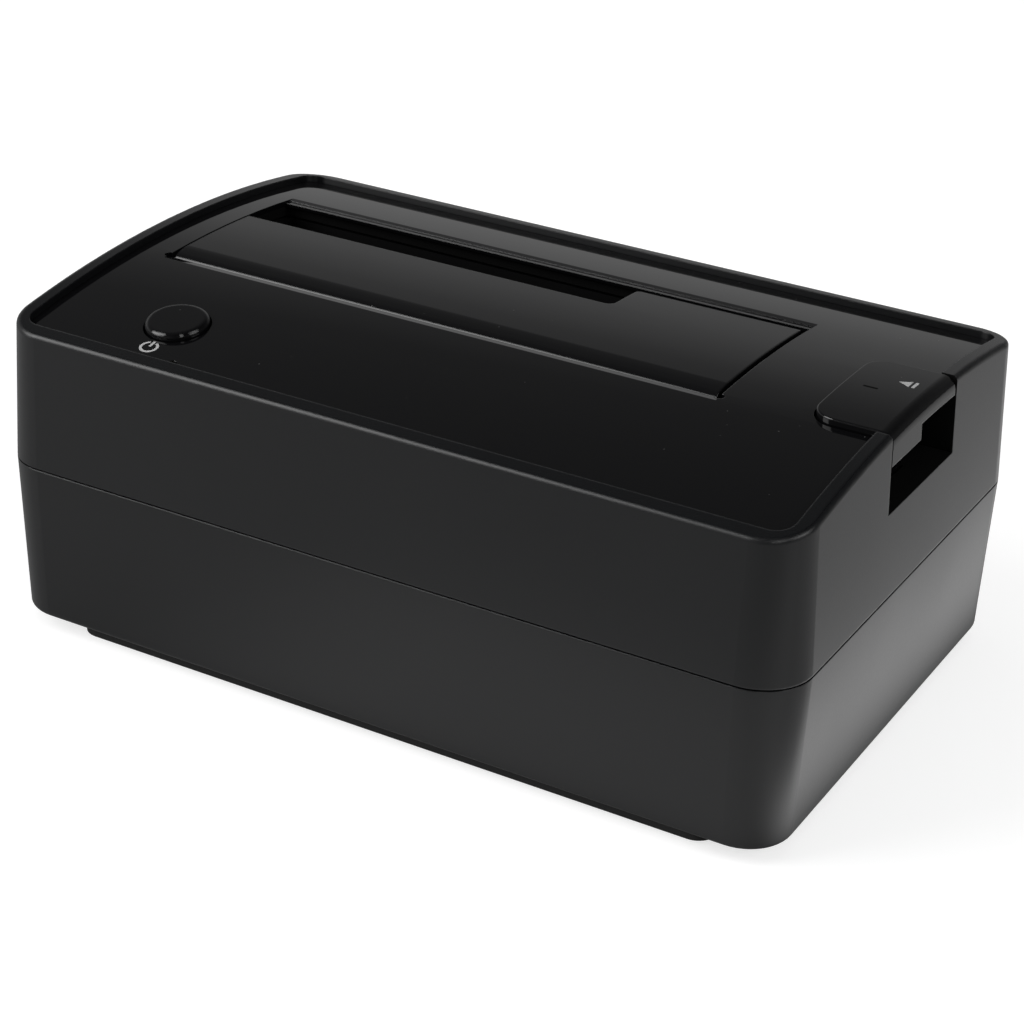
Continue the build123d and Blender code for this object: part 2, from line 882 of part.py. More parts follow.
def slot_flap():
    """Flap with its rolled front edge, crowned like the panel, and the spring's pocket."""
    plate = Pos(0, 0, part_line_height) * extrude(flap_plan(), amount=upper_height)
    plate &= crown_slab(panel_drop, panel_drop + flap_thickness)
    front = span_box(
        flap_left_x - overrun,
        flap_right_x + overrun,
        bend_front_y - overrun,
        bend_back_y,
        part_line_height,
        crown_top,
    )
    bend = cross_rod_x(flap_left_x, flap_right_x, bend_y, bend_z, flap_bend_radius)
    plate = (plate - front) + (plate & front & bend)
    roll = cross_rod_x(flap_left_x, flap_right_x, hinge_y, hinge_z, flap_roll_radius)
    flap = plate + roll
    flap -= cross_rod_x(
        flap_left_x - overrun,
        flap_right_x + overrun,
        hinge_y,
        hinge_z,
        hinge_pin_radius + hinge_running_fit,
    )
    coil_radius = hinge_pin_radius + flap_spring_gap + flap_spring_wire
    pocket_radius = coil_radius + flap_spring_gap
    pocket_left = flap_right_x - flap_spring_setback - flap_spring_length
    pocket_right = flap_right_x - flap_spring_setback + flap_spring_gap * 2
    flap -= cross_rod_x(pocket_left, pocket_right, hinge_y, hinge_z, pocket_radius)
    flap -= span_box(
        pocket_left,
        pocket_right,
        hinge_y - pocket_radius,
        hinge_y + flap_roll_radius,
        hinge_z - flap_roll_radius,
        hinge_z,
    )
    return flap


def flap_hinge_pin():
    """Steel pin through the flap's roll, held in the two bosses."""
    return cross_rod_x(
        slot_left_x - hinge_boss_width,
        slot_right_x + hinge_boss_width,
        hinge_y,
        hinge_z,
        hinge_pin_radius,
    )


def flap_spring():
    """Coil round the pin with the leg that lifts the flap."""
    inner = hinge_pin_radius + flap_spring_gap
    outer = inner + flap_spring_wire
    left = flap_right_x - flap_spring_setback - flap_spring_length + flap_spring_gap
    right = flap_right_x - flap_spring_setback + flap_spring_gap
    coil = cross_rod_x(left, right, hinge_y, hinge_z, outer)
    coil -= cross_rod_x(left - overrun, right + overrun, hinge_y, hinge_z, inner)
    leg_radius = flap_spring_wire / 2
    leg = cross_rod_y(
        right - leg_radius,
        hinge_y,
        hinge_y + flap_spring_leg_length,
        hinge_z - inner - leg_radius,
        leg_radius,
    )
    return coil + leg


def power_button():
    """Round push button with its flange under the deck and its stem over the switch."""
    flange_top = crown_height(button_y - button_flange_radius, ceiling_drop) - button_flange_gap
    flange_bottom = flange_top - button_flange_thickness
    cap = post(button_x, button_y, flange_bottom, crown_top, button_radius)
    cap &= crown_block(panel_drop - button_proud, part_line_height)
    cap = fillet(cap.faces().sort_by(Axis.Z)[-1].edges(), button_round)
    flange = post(button_x, button_y, flange_bottom, flange_top, button_flange_radius)
    stem = post(
        button_x,
        button_y,
        flange_bottom - button_stem_length,
        flange_bottom + button_flange_thickness / 2,
        button_stem_radius,
    )
    return cap + flange + stem


def button_spring():
    """Spring between the button's board and its flange."""
    flange_top = crown_height(button_y - button_flange_radius, ceiling_drop) - button_flange_gap
    top = flange_top - button_flange_thickness
    coil = post(button_x, button_y, button_board_top, top, button_spring_radius)
    inner_radius = button_spring_radius - button_spring_thickness
    return coil - post(
        button_x, button_y, button_board_top - overrun, top + overrun, inner_radius
    )


def button_board():
    """Small board under the power button and the light."""
    board = rounded_slab(
        button_board_left_x,
        button_board_right_x,
        button_board_front_y,
        button_board_back_y,
        button_board_bottom,
        button_board_top,
        button_board_corner_radius,
    )
    for x, y in button_screw_places:
        board -= post(
            x,
            y,
            button_board_bottom - overrun,
            button_board_top + overrun,
            small_screw_radius + screw_clearance,
        )
    return board


def tact_switch():
    """Push switch on its board."""
    half = switch_width / 2
    body_top = button_board_top + switch_height
    body = rounded_slab(
        button_x - half,
        button_x + half,
        button_y - half,
        button_y + half,
        button_board_top,
        body_top,
        half / 4,
    )
    plunger = post(
        button_x, button_y, body_top, body_top + switch_plunger_height, switch_plunger_radius
    )
    return body + plunger


def status_led():
    """Small light on the board, under its light pipe."""
    half = led_width / 2
    led = span_box(
        light_x - half,
        light_x + half,
        light_y - half,
        light_y + half,
        button_board_top,
        button_board_top + led_height,
    )
    return fillet(led.edges().filter_by(Axis.Z), half / 4)


def light_pipe():
    """Clear rod from the light up to the panel."""
    bottom = button_board_top + led_height + light_gap
    top = crown_height(light_y - light_radius, panel_drop) - light_recess
    rod = post(light_x, light_y, bottom, top, light_radius)
    return rod + post(light_x, light_y, bottom, bottom + light_body_height, light_body_radius)


def main_board():
    """Board with the drive connector, the chip and the ports."""
    board = rounded_slab(
        board_left_x,
        board_right_x,
        board_front_y,
        board_back_y,
        board_bottom,
        board_top,
        board_corner_radius,
    )
    for x, y in board_screw_places:
        board -= post(
            x, y, board_bottom - overrun, board_top + overrun, small_screw_radius + screw_clearance
        )
    for x, y in liner_screw_places:
        board -= post(
            x, y, board_bottom - overrun, board_top + overrun, stand_radius + screw_clearance * 2
        )
    return board


def bridge_chip():
    """Controller chip with its bevelled edges and the pin one dimple."""
    half = chip_width / 2
    chip = span_box(
        chip_x - half, chip_x + half, chip_y - half, chip_y + half, board_top,
        board_top + chip_thickness
    )
    chip = chamfer(chip.edges().group_by(Axis.Z)[-1], chip_thickness / 4)
    dimple_x = chip_x - half * 2 / 3
    dimple_y = chip_y - half * 2 / 3
    top = board_top + chip_thickness
    return chip - post(dimple_x, dimple_y, top - chip_thickness / 4, top + overrun, half / 6)


def key_slot(x_low, length, low, high):
    """Long slot of the drive connector with its key at one end."""
    y_low = connector_y - connector_slot_width / 2
    blade = span_box(x_low, x_low + length, y_low, y_low + connector_slot_width, low, high)
    key = span_box(
        x_low,
        x_low + connector_slot_width,
        y_low - connector_key_depth,
        y_low + connector_slot_width,
        low,
        high,
    )
    return blade + key


def drive_connector():
    """Upright receptacle for the drive's data and power contacts."""
    top = board_top + connector_height
    left = connector_x - connector_length / 2
    body = rounded_slab(
        left,
        left + connector_length,
        connector_y - connector_depth / 2,
        connector_y + connector_depth / 2,
        board_top,
        top,
        connector_slot_width / 2,
    )
    body = chamfer(body.edges().group_by(Axis.Z)[-1], connector_slot_width / 4)
    used = connector_power_length + connector_slot_spacing + connector_data_length
    start = connector_x - used / 2
    low = top - connector_slot_depth
    body -= key_slot(start, connector_power_length, low, top + overrun)
    body -= key_slot(
        start + connector_power_length + connector_slot_spacing,
        connector_data_length,
        low,
        top + overrun,
    )
    return body


port_face_y = body_depth / 2 - (part_line_height - board_top) * lower_slope - port_setback


def host_port():
    """Square computer port with its tongue, facing back."""
    half = port_width / 2
    back = port_face_y
    body = span_box(
        port_x - half, port_x + half, back - port_length, back, board_top, board_top + port_height
    )
    body = fillet(body.edges().filter_by(Axis.Y), port_clearance * 2)
    middle_z = board_top + port_height / 2
    mouth = Rectangle(port_mouth_width, port_mouth_height)
    mouth = chamfer(mouth.vertices().sort_by(Axis.Y)[-2:], port_mouth_chamfer)
    face = Plane(origin=(port_x, back + overrun, middle_z), x_dir=(-1, 0, 0), z_dir=(0, 1, 0))
    body -= extrude(face * mouth, amount=-port_mouth_depth - overrun)
    tongue = span_box(
        port_x - port_tongue_width / 2,
        port_x + port_tongue_width / 2,
        back - port_mouth_depth - overrun,
        back - port_tongue_setback,
        middle_z - port_tongue_height / 2,
        middle_z + port_tongue_height / 2,
    )
    return body + tongue


def power_jack():
    """Round power inlet with its pin, facing back."""
    half = jack_width / 2
    back = port_face_y
    middle_z = board_top + jack_height / 2
    body = span_box(
        jack_x - half, jack_x + half, back - jack_length, back, board_top, board_top + jack_height
    )
    body = fillet(body.edges().filter_by(Axis.Y).sort_by(Axis.Z)[-2:], half / 2)
    body -= cross_rod_y(
        jack_x, back - jack_bore_depth, back + overrun, middle_z, jack_bore_radius
    )
    pin = cross_rod_y(
        jack_x,
        back - jack_bore_depth - overrun,
        back - jack_pin_setback,
        middle_z,
        jack_pin_radius,
    )
    pin = fillet(pin.edges().group_by(Axis.Y)[-1], jack_pin_radius / 2)
    return body + pin


def ballast_plate():
    """Steel plate that keeps the dock standing while a drive is pulled out."""
    plate = rounded_slab(
        ballast_left_x,
        ballast_right_x,
        ballast_front_y,
        ballast_back_y,
        floor_top,
        floor_top + ballast_thickness,
        ballast_corner_radius,
    )
    places = ballast_peg_places + liner_screw_places
    for x, y in places:
        hole_radius = max(ballast_peg_radius, stand_radius) + ballast_peg_clearance
        if (x, y) in ballast_peg_places:
            hole_radius = ballast_peg_radius + ballast_peg_clearance
        plate -= post(x, y, floor_top - overrun, floor_top + ballast_thickness + overrun,
                      hole_radius)
    return plate


def base_plate():
    """Thin plinth under the casing with the holes for the feet."""
    plate = rounded_slab(
        base_plate_left_inset - body_width / 2,
        body_width / 2 - base_plate_right_inset,
        base_plate_front_inset - body_depth / 2,
        body_depth / 2 - base_plate_front_inset,
        foot_drop,
        base_height,
        base_plate_corner_radius,
    )
    for x, y in mirrored_places(foot_x, foot_y):
        plate -= post(x, y, 0, base_height + overrun, foot_radius + foot_clearance)
    return plate


def rubber_feet():
    """Four round feet with bevelled lower edges."""
    feet = []
    for x, y in mirrored_places(foot_x, foot_y):
        foot = post(x, y, 0, base_height, foot_radius)
        feet.append(chamfer(foot.edges().group_by(Axis.Z)[0], foot_edge_bevel))
    return Compound(children=feet)


def eject_button():
    """Tab in the rim with its skirt, the leg to the rocker and the spring's lug."""
    plate = Pos(0, 0, part_line_height) * extrude(tab_outline(0), amount=upper_height)
    shape = upper_block(0) & crown_block(0, part_line_height)
    tab = plate & shape & crown_slab(0, tab_thickness)
    lip = span_box(
        tab_outer_x - skirt_thickness,
        body_width,
        opening_front_y + tab_gap,
        opening_back_y - tab_gap,
        part_line_height,
        crown_top,
    )
    tab += lip & shape & crown_slab(tab_thickness / 2, tab_thickness + tab_lip_depth)
    outer_edges = tab.edges().filter_by_position(Axis.X, tab_outer_x - tab_gap, body_width)
    tab = fillet(outer_edges.sort_by(SortBy.LENGTH)[-2:].sort_by(Axis.Z)[-1], tab_outer_round)
    crown = tab.faces().filter_by(GeomType.CYLINDER).sort_by(SortBy.AREA)[-2:].sort_by(Axis.Z)[-1]
    inner_top = crown.edges().sort_by(Axis.X)[:-1]
    tab = fillet(inner_top, tab_edge_round)
    skirt_front = opening_front_y + tab_gap
    skirt = span_box(
        tab_outer_x - skirt_thickness,
        body_width / 2,
        skirt_front,
        skirt_front + skirt_length,
        skirt_bottom_height,
        crown_top,
    )
    middle_drop = (tab_outer_round + tab_thickness + tab_lip_depth) / 2
    tab += skirt & upper_block(0) & crown_block(middle_drop, part_line_height)
    tab += eject_leg()
    return tab


def eject_leg():
    """Leg with a round nose on the rocker, and the lug that its spring pushes."""
    nose_z = leg_bottom + leg_half_width
    leg = span_box(
        leg_x - leg_half_width,
        leg_x + leg_half_width,
        leg_y - leg_half_depth,
        leg_y + leg_half_depth,
        nose_z,
        crown_height(leg_y + leg_half_depth, tab_thickness / 2),
    )
    leg += cross_rod_y(
        leg_x, leg_y - leg_half_depth, leg_y + leg_half_depth, nose_z, leg_half_width
    )
    lug = rounded_slab(
        leg_x - eject_spring_radius,
        leg_x + eject_spring_radius,
        leg_y,
        leg_y + leg_half_depth + spring_lug_length,
        spring_lug_height,
        spring_lug_height + spring_lug_thickness,
        spring_lug_thickness / 2,
    )
    return leg + lug


def eject_spring():
    """Spring that pushes the eject button back up."""
    coil = post(leg_x, spring_y, spring_seat_height, spring_lug_height, eject_spring_radius)
    return coil - post(
        leg_x,
        spring_y,
        spring_seat_height - overrun,
        spring_lug_height + overrun,
        eject_spring_radius - eject_spring_thickness,
    )


def rocker_limb(angle):
    """Tapering arm from the hub to a round tip, at an angle above the right-hand side."""
    taper_angle = degrees(asin((rocker_hub_radius - rocker_tip_radius) / rocker_arm))
    upper = radians(right_angle - taper_angle)
    hub = [
        (rocker_hub_radius * cos(upper), rocker_hub_radius * sin(upper)),
        (rocker_hub_radius * cos(upper), -rocker_hub_radius * sin(upper)),
    ]
    tip = [
        (rocker_arm + rocker_tip_radius * cos(upper), rocker_tip_radius * sin(upper)),
        (rocker_arm + rocker_tip_radius * cos(upper), -rocker_tip_radius * sin(upper)),
    ]
    side = make_face(Polyline(hub[0], tip[0], tip[1], hub[1], close=True))
    side += Pos(rocker_arm, 0) * Circle(rocker_tip_radius)
    return Rot(0, 0, angle) * side


def eject_rocker():
    """Two-armed rocker that turns the push on the button into a lift of the drive."""
    rest = rocker_swing / 2
    side = Circle(rocker_hub_radius) + rocker_limb(rest) + rocker_limb(half_turn - rocker_inner_rise)
    side -= Circle(rocker_pin_radius + hinge_running_fit)
    face = Plane(
        origin=(rocker_x, leg_y - rocker_width / 2, rocker_pin_height),
        x_dir=(1, 0, 0),
        z_dir=(0, -1, 0),
    )
    return extrude(face * side, amount=-rocker_width)


def rocker_pin():
    """Steel pin of the rocker between its two cheeks."""
    reach = rocker_width / 2 + rocker_post_gap + rocker_post_thickness
    return cross_rod_y(rocker_x, leg_y - reach, leg_y + reach, rocker_pin_height,
                       rocker_pin_radius)


def screws_at(places, height, screw_solid, flip):
    """Set of alike screws at one height, head up or head down."""
    turn = Rot(half_turn, 0, 0) if flip else Rot(0, 0, 0)
    return Compound(children=[Pos(x, y, height) * turn * screw_solid for x, y in places])


def casing_screws():
    """Four long screws that close the casing from below."""
    return screws_at(casing_screw_places, casing_screw_seat, casing_screw(), True)


def write(node, solid):
    """Saves one sub-part under its node name."""
    export_step(solid, f"parts/{node}.step")


write("lower_casing", lower_casing())
write("upper_casing", upper_casing())
write("top_panel", top_panel())
write("bay_liner", bay_liner())
write("slot_flap", slot_flap())
write("flap_hinge_pin", flap_hinge_pin())
write("flap_spring", flap_spring())
write("power_button", power_button())
write("button_spring", button_spring())
write("button_board", button_board())
write("tact_switch", tact_switch())
write("status_led", status_led())
write("light_pipe", light_pipe())
write("eject_button", eject_button())
write("eject_spring", eject_spring())
write("eject_rocker", eject_rocker())
write("rocker_pin", rocker_pin())
write("main_board", main_board())
write("bridge_chip", bridge_chip())
write("drive_connector", drive_connector())
write("host_port", host_port())
write("power_jack", power_jack())
write("ballast_plate", ballast_plate())
write("base_plate", base_plate())
write("rubber_feet", rubber_feet())
write("casing_screws", casing_screws())
write("board_screws", screws_at(board_screw_places, board_top, small_screw(), False))
write(
    "liner_screws",
    screws_at(
        liner_screw_places, liner_floor_height + liner_ear_thickness, small_screw(), False
    ),
)
write(
    "button_board_screws",
    screws_at(button_screw_places, button_board_bottom, small_screw(), True),
)
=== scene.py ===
import bmesh
import bpy
import math
from mathutils import Matrix, Vector


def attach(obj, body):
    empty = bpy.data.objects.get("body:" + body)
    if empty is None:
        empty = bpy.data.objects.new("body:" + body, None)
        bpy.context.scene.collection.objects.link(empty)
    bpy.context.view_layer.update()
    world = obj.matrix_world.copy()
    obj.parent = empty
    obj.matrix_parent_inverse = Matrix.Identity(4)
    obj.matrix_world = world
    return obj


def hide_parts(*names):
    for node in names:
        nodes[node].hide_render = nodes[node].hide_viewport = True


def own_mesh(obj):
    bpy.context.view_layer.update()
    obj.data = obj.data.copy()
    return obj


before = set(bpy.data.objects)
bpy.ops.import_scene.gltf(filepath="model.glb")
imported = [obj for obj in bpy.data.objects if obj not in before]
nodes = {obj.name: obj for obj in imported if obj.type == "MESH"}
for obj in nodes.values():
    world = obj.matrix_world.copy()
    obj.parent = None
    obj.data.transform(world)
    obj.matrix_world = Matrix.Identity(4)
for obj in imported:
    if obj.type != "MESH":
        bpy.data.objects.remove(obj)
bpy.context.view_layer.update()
MM = 0.001

# Shape of the dock, as the CAD has it, in millimetres
CROWN_TOP = 58.9
CROWN_RADIUS = 227.4
CROWN_MIDDLE = 1.0
PANEL_DROP = 1.2
PANEL_HALF_LENGTH = 67.85
PANEL_HALF_DEPTH = 41.8
PANEL_CORNER = 3.2
TAB_FRONT = -11.0
TAB_BACK = 15.0
TAB_INNER = 56.3
OPENING_FLOOR = 45.5

# Groove across the tab, in millimetres
DASH_X = 61.05
DASH_Y = 2.7
DASH_HALF_LENGTH = 1.2
DASH_HALF_WIDTH = 0.28

# Masks reach a little past the surfaces that they cover, in millimetres
MASK_MARGIN = 0.04
MASK_DROP = 0.05

# Softness of a mask's edge, in metres
SHARP = 0.00002
SOFT = 0.0001

# Shading radii of moulded edges, in metres
CASING_ROUNDING = 0.00035
PANEL_ROUNDING = 0.00015
FLAP_ROUNDING = 0.0005
BUTTON_ROUNDING = 0.00055
TAB_ROUNDING = 0.0001


# Shader values and finishes

class Value:
    """A shader socket that takes part in sums."""

    def __init__(self, shading, socket):
        self.shading = shading
        self.socket = socket

    def maths(self, operation, first, second=0.0):
        return self.shading.node(
            "ShaderNodeMath", {"operation": operation}, {0: first, 1: second})

    def __add__(self, other):
        return self.maths("ADD", self, other)

    __radd__ = __add__

    def __mul__(self, other):
        return self.maths("MULTIPLY", self, other)

    __rmul__ = __mul__

    def __sub__(self, other):
        return self.maths("SUBTRACT", self, other)

    def __rsub__(self, other):
        return self.maths("SUBTRACT", other, self)

    def size(self):
        return self.maths("ABSOLUTE", self)

    def root(self):
        return self.maths("SQRT", self)

    def at_least(self, level):
        return self.maths("MAXIMUM", self, level)

    def at_most(self, level):
        return self.maths("MINIMUM", self, level)

    def above(self, level, softness):
        """Nought below a level and one above it, with a soft step."""
        return self.shading.node(
            "ShaderNodeMapRange",
            {"interpolation_type": "SMOOTHSTEP"},
            {0: self, 1: level - softness, 2: level + softness, 3: 0.0, 4: 1.0})


class Shading:
    """A node tree to which nodes are added in one way."""

    def __init__(self, tree, place):
        self.tree = tree
        self.place = self.node("ShaderNodeTexCoord", {}, {}, place)

    def node(self, kind, settings, inputs, output=0):
        """Adds a node, sets it, feeds its sockets and gives one output."""
        made = self.tree.nodes.new(kind)
        for name, value in settings.items():
            if name == "stops":
                ramp = made.color_ramp.elements
                while len(ramp) < len(value):
                    ramp.new(0.5)
                for stop, (position, colour) in zip(ramp, value):
                    stop.position = position
                    stop.color = (*colour, 1.0)
            else:
                setattr(made, name, value)
        for name, value in inputs.items():
            self.feed(made.inputs[name], value)
        return Value(self, made.outputs[output]) if len(made.outputs) else made

    def feed(self, socket, value):
        if isinstance(value, Value):
            self.tree.links.new(value.socket, socket)
        else:
            socket.default_value = value

    def along(self, axis):
        """How far a point lies along an axis."""
        return self.node("ShaderNodeSeparateXYZ", {}, {0: self.place}, axis)

    def noise(self, scale, detail=2.0, roughness=0.5, stretch=None):
        place = self.place
        if stretch:
            place = self.node("ShaderNodeMapping", {}, {0: place, 3: stretch})
        return self.node(
            "ShaderNodeTexNoise", {},
            {"Vector": place, "Scale": scale, "Detail": detail, "Roughness": roughness})

    def spots(self, scale):
        return self.node(
            "ShaderNodeTexVoronoi", {"feature": "F1"}, {"Vector": self.place, "Scale": scale})

    def blend(self, amount, first, second):
        """Mixes two colours."""
        return self.node(
            "ShaderNodeMix", {"data_type": "RGBA"},
            {0: amount, 6: (*first, 1.0) if isinstance(first, tuple) else first,
             7: (*second, 1.0) if isinstance(second, tuple) else second}, 2)

    def seen_by(self, ray):
        return self.node("ShaderNodeLightPath", {}, {}, ray)

    def mix_shaders(self, amount, first, second):
        return self.node("ShaderNodeMixShader", {}, {0: amount, 1: first, 2: second})


class Finish(Shading):
    """A procedural material on object coordinates."""

    def __init__(self, name, colour, roughness, **sockets):
        self.material = bpy.data.materials.new(name)
        self.material.use_nodes = True
        super().__init__(self.material.node_tree, "Object")
        self.surface = self.tree.nodes["Principled BSDF"]
        self.set("Base Color", (*colour, 1.0))
        self.set("Roughness", roughness)
        for name, value in sockets.items():
            self.set(name.replace("_", " "), value)

    def set(self, name, value):
        self.feed(self.surface.inputs[name], value)

    def rounded_normal(self, radius):
        return self.node("ShaderNodeBevel", {"samples": 4}, {"Radius": radius})

    def edges(self, radius):
        """One where a surface turns a corner within a radius, nought on the flat."""
        flat = self.node("ShaderNodeNewGeometry", {}, {}, "Normal")
        dot = self.node(
            "ShaderNodeVectorMath", {"operation": "DOT_PRODUCT"},
            {0: self.rounded_normal(radius), 1: flat}, 1)
        return (1.0 - dot).above(0.12, 0.1)

    def relief(self, height, depth, strength=1.0, rounding=0.0):
        """Bumps the surface by a height, over edges rounded by a small radius."""
        inputs = {"Strength": strength, "Distance": depth, "Height": height}
        if rounding:
            inputs["Normal"] = self.rounded_normal(rounding)
        self.set("Normal", self.node("ShaderNodeBump", {}, inputs))

    def paint_shade_where(self, inside):
        """Painted shade: mixes in a dead matt black where a mask is one, inside the casing where
        light is lost and along the tab's groove.
        """
        dull = self.node(
            "ShaderNodeBsdfPrincipled", {},
            {"Base Color": (0.002, 0.002, 0.002, 1.0), "Roughness": 0.8,
             "Specular IOR Level": 0.1})
        bright = Value(self, self.surface.outputs[0])
        both = self.mix_shaders(inside, bright, dull)
        self.feed(self.tree.nodes["Material Output"].inputs["Surface"], both)


def within_rim(shading):
    """Mask of the painted shade: one under the panel and in the tab's opening, nought on what is
    seen outside.
    """
    x, y = shading.along("X"), shading.along("Y")
    over_x = (x.size() - (PANEL_HALF_LENGTH - PANEL_CORNER) * MM).at_least(0.0)
    over_y = (y.size() - (PANEL_HALF_DEPTH - PANEL_CORNER) * MM).at_least(0.0)
    reach = (over_x * over_x + over_y * over_y).root()
    from_axis_y = y - CROWN_MIDDLE * MM
    from_axis_z = shading.along("Z") - (CROWN_TOP - CROWN_RADIUS) * MM
    lift = (from_axis_y * from_axis_y + from_axis_z * from_axis_z).root()
    under = 1.0 - lift.above((CROWN_RADIUS - PANEL_DROP - MASK_DROP) * MM, SHARP)
    inner = under * (1.0 - reach.above((PANEL_CORNER + MASK_MARGIN) * MM, SHARP))
    from_middle = (y - (TAB_FRONT + TAB_BACK) / 2 * MM).size()
    half_width = (TAB_BACK - TAB_FRONT) / 2 + MASK_MARGIN
    beside = 1.0 - from_middle.above(half_width * MM, SHARP)
    opening = (beside * x.above(TAB_INNER * MM, SHARP)
               * shading.along("Z").above((OPENING_FLOOR - MASK_DROP) * MM, SHARP))
    return (inner + opening).at_most(1.0)


def along_dash(shading):
    """Mask of the painted shade along the short groove across the tab: one there, nought
    elsewhere.
    """
    from_middle_x = (shading.along("X") - DASH_X * MM).size()
    from_middle_y = (shading.along("Y") - DASH_Y * MM).size()
    within_length = 1.0 - from_middle_x.above(DASH_HALF_LENGTH * MM, SOFT)
    within_width = 1.0 - from_middle_y.above(DASH_HALF_WIDTH * MM, SOFT)
    return within_length * within_width


def casing_satin(name, paints_shade_inside):
    """Satin black moulding with a fine spark-eroded texture, smoother on top and at its edges;
    the upper casing takes painted shade inside.
    """
    finish = Finish(name, (0.01, 0.01, 0.01), 0.4, Specular_IOR_Level=0.5)
    grain = finish.noise(2600.0, 3.0)
    cloud = finish.noise(34.0, 3.0)
    rubbed = finish.edges(0.0006) * finish.noise(260.0, 2.0).above(0.52, 0.2)
    upward = finish.node("ShaderNodeNewGeometry", {}, {}, "Normal")
    top = finish.node("ShaderNodeSeparateXYZ", {}, {0: upward}, "Z").above(0.9, 0.08)
    finish.set("Base Color", finish.blend(
        cloud * 0.3 + rubbed * 0.6, (0.0026, 0.0029, 0.0035), (0.010, 0.0105, 0.0115)))
    finish.set("Roughness", 0.31 + cloud * 0.05 + grain * 0.05 - rubbed * 0.06 - top * 0.12)
    finish.relief(grain, 0.00002, 0.35, CASING_ROUNDING)
    # Painted shade: dead matt black under the panel and in the tab's opening, where light is lost
    if paints_shade_inside:
        finish.paint_shade_where(within_rim(finish))
    return finish


def piano_black(name, roughness, rounding, painted_shade_place=None):
    """Polished black with the faint waviness and hairlines of a moulded gloss part, and painted
    shade where a mask is given.
    """
    finish = Finish(name, (0.003, 0.003, 0.0034), roughness, Specular_IOR_Level=0.5)
    wave = finish.noise(55.0, 2.0)
    hair = finish.noise(900.0, 3.0, 0.6, (1.0, 0.06, 1.0))
    dust = finish.spots(420.0)
    speck = (0.055 - dust).above(0.0, 0.012) * finish.noise(60.0).above(0.6, 0.06)
    finish.set("Base Color", finish.blend(speck, (0.0030, 0.0030, 0.0034), (0.05, 0.05, 0.05)))
    finish.set("Roughness", roughness + hair.above(0.66, 0.08) * 0.03 + speck * 0.3)
    finish.relief(wave, 0.00001, 0.12, rounding)
    # Painted shade where the mask is one, here the tab's groove
    if painted_shade_place:
        finish.paint_shade_where(painted_shade_place(finish))
    return finish


def moulded(name, colour, roughness, grain_scale=1400.0, rounding=0.0, shine=0.5):
    """Plain moulded plastic with a light grain and a little shade from place to place."""
    finish = Finish(name, colour, roughness, Specular_IOR_Level=shine)
    grain = finish.noise(grain_scale, 2.0)
    cloud = finish.noise(60.0, 2.0)
    light = tuple(min(1.0, c * 1.6 + 0.001) for c in colour)
    finish.set("Base Color", finish.blend(cloud * 0.6, colour, light))
    finish.set("Roughness", roughness + grain * 0.08 - 0.04)
    finish.relief(grain, 0.00002, 0.3, rounding)
    return finish


def plain_steel(name, colour, roughness, stretch=(1.0, 1.0, 1.0)):
    """Bare steel with drawn lines and faint stains."""
    finish = Finish(name, colour, roughness, Metallic=1.0)
    lines = finish.noise(1500.0, 3.0, 0.6, stretch)
    stain = finish.noise(90.0, 3.0)
    dull = tuple(c * 0.6 for c in colour)
    finish.set("Base Color", finish.blend(stain.above(0.62, 0.2) * 0.5, colour, dull))
    finish.set("Roughness", roughness + lines * 0.18 - 0.09)
    finish.relief(lines, 0.00001, 0.2)
    return finish


def lacquered_board(name):
    """Green board lacquer over copper tracks."""
    finish = Finish(name, (0.006, 0.07, 0.022), 0.3)
    tracks = finish.node(
        "ShaderNodeTexBrick", {"offset": 0.5},
        {"Vector": finish.place, "Scale": 210.0, "Mortar Size": 0.07, "Color1": (0, 0, 0, 1),
         "Color2": (0.15, 0.15, 0.15, 1), "Mortar": (1, 1, 1, 1)}, 1)
    weave = finish.noise(900.0, 1.0)
    finish.set("Base Color", finish.blend(
        tracks * 0.55 + weave * 0.12, (0.004, 0.055, 0.018), (0.02, 0.17, 0.055)))
    finish.set("Roughness", 0.26 + weave * 0.12)
    finish.relief(tracks, 0.00004, 0.5)
    return finish


def foot_rubber(name):
    """Soft black rubber with scuffs."""
    finish = Finish(name, (0.012, 0.012, 0.012), 0.75)
    grain = finish.noise(1100.0, 3.0)
    scuff = finish.noise(160.0, 3.0).above(0.6, 0.1)
    finish.set("Base Color", finish.blend(scuff * 0.6, (0.010, 0.010, 0.010), (0.03, 0.03, 0.03)))
    finish.set("Roughness", 0.7 + grain * 0.15)
    finish.relief(grain, 0.00003, 0.5)
    return finish


def smoked_clear(name, colour):
    """Dull olive light guide with a few inclusions."""
    finish = Finish(name, colour, 0.2)
    cloud = finish.noise(900.0, 2.0)
    lighter = tuple(c * 1.7 for c in colour)
    finish.set("Base Color", finish.blend(cloud, colour, lighter))
    finish.set("Roughness", 0.16 + cloud * 0.12)
    return finish


